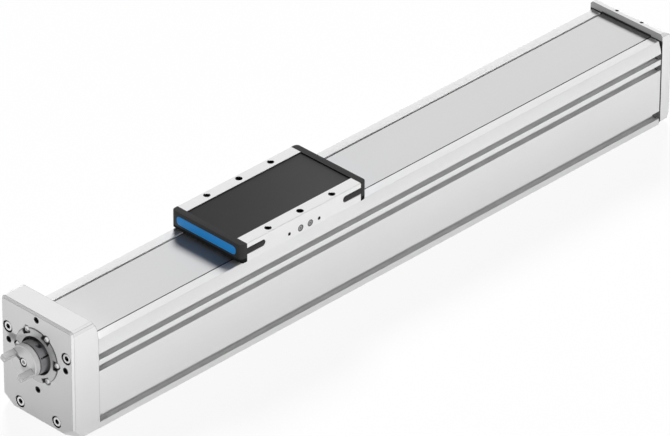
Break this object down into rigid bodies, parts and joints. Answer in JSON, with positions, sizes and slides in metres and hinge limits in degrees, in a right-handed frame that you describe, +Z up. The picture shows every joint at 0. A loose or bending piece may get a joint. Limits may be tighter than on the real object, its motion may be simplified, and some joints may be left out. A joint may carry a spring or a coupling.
{
  "type": "ball screw linear axis",
  "caption": "Long aluminium profile axis with a steel cover band, a guided carriage with black cover and blue end bars, and a ball screw turned by a two-claw hub.",
  "frame": {"origin": "centre of the profile's bottom face, half way along the profile", "axes": "+X along the profile from the drive end to the rear end, +Z up from the mounting face to the carriage, +Y across"},
  "size_m": [1.0555, 0.12, 0.148],
  "materials": {
    "anodised_aluminium": "fine matt anodised",
    "band_steel": "bright rolled strip",
    "machined_steel": "turned",
    "bearing_steel": "ground",
    "zinc_screws": "zinc plated",
    "milled_aluminium": "milled",
    "black_plastic": "fine grain moulded",
    "blue_plastic": "moulded",
    "black_rubber": "moulded",
    "magnet_strip": "plastic bound ferrite"
  },
  "bodies": {
    "base": {"profile": "anodised_aluminium", "front_cap": "anodised_aluminium", "front_cap_screws": "zinc_screws", "bearing_flange": "machined_steel", "bearing_flange_screws": "zinc_screws", "front_bearing_outer": "bearing_steel", "rear_cap": "anodised_aluminium", "rear_cap_screws": "zinc_screws", "rear_gasket": "black_rubber", "rear_bearing_outer": "bearing_steel", "band_set_screws": "zinc_screws", "guide_rail": "bearing_steel", "rail_screws": "zinc_screws", "magnet_strip_left": "magnet_strip", "magnet_strip_right": "magnet_strip", "cover_band": "band_steel", "band_clamp_front": "milled_aluminium", "band_clamp_rear": "milled_aluminium", "front_buffers": "black_rubber", "rear_buffers": "black_rubber"},
    "spindle": {"ball_screw": "machined_steel", "front_bearing_inner": "bearing_steel", "rear_bearing_inner": "bearing_steel", "lock_nut": "bearing_steel", "coupling_hub": "machined_steel", "clamp_collar": "machined_steel", "clamp_screw": "zinc_screws", "centre_screw": "zinc_screws"},
    "carriage": {"carriage_body": "anodised_aluminium", "carriage_cover": "black_plastic", "end_cap_front": "black_plastic", "end_cap_rear": "black_plastic", "accent_bar_front": "blue_plastic", "accent_bar_rear": "blue_plastic", "wiper_front": "black_rubber", "wiper_rear": "black_rubber", "band_ramp_front": "black_plastic", "band_ramp_rear": "black_plastic", "guide_block_front": "bearing_steel", "guide_block_rear": "bearing_steel", "guide_block_screws": "zinc_screws", "nut_housing": "milled_aluminium", "ball_nut": "machined_steel", "nut_screws": "zinc_screws", "grease_nipples": "zinc_screws"}
  },
  "joints": [
    {"name": "carriage_slide", "type": "slide", "parent": "base", "child": "carriage", "axis": [1, 0, 0], "range_m": [-0.21, 0.495], "deforming": ["cover_band"]},
    {"name": "spindle_turn", "type": "hinge", "parent": "base", "child": "spindle", "pos_m": [0, 0, 0.0922], "axis": [1, 0, 0], "continuous": true}
  ],
  "couplings": [
    {"joint": "spindle_turn", "follows": "carriage_slide", "rad_per_m": 251.33}
  ]
}
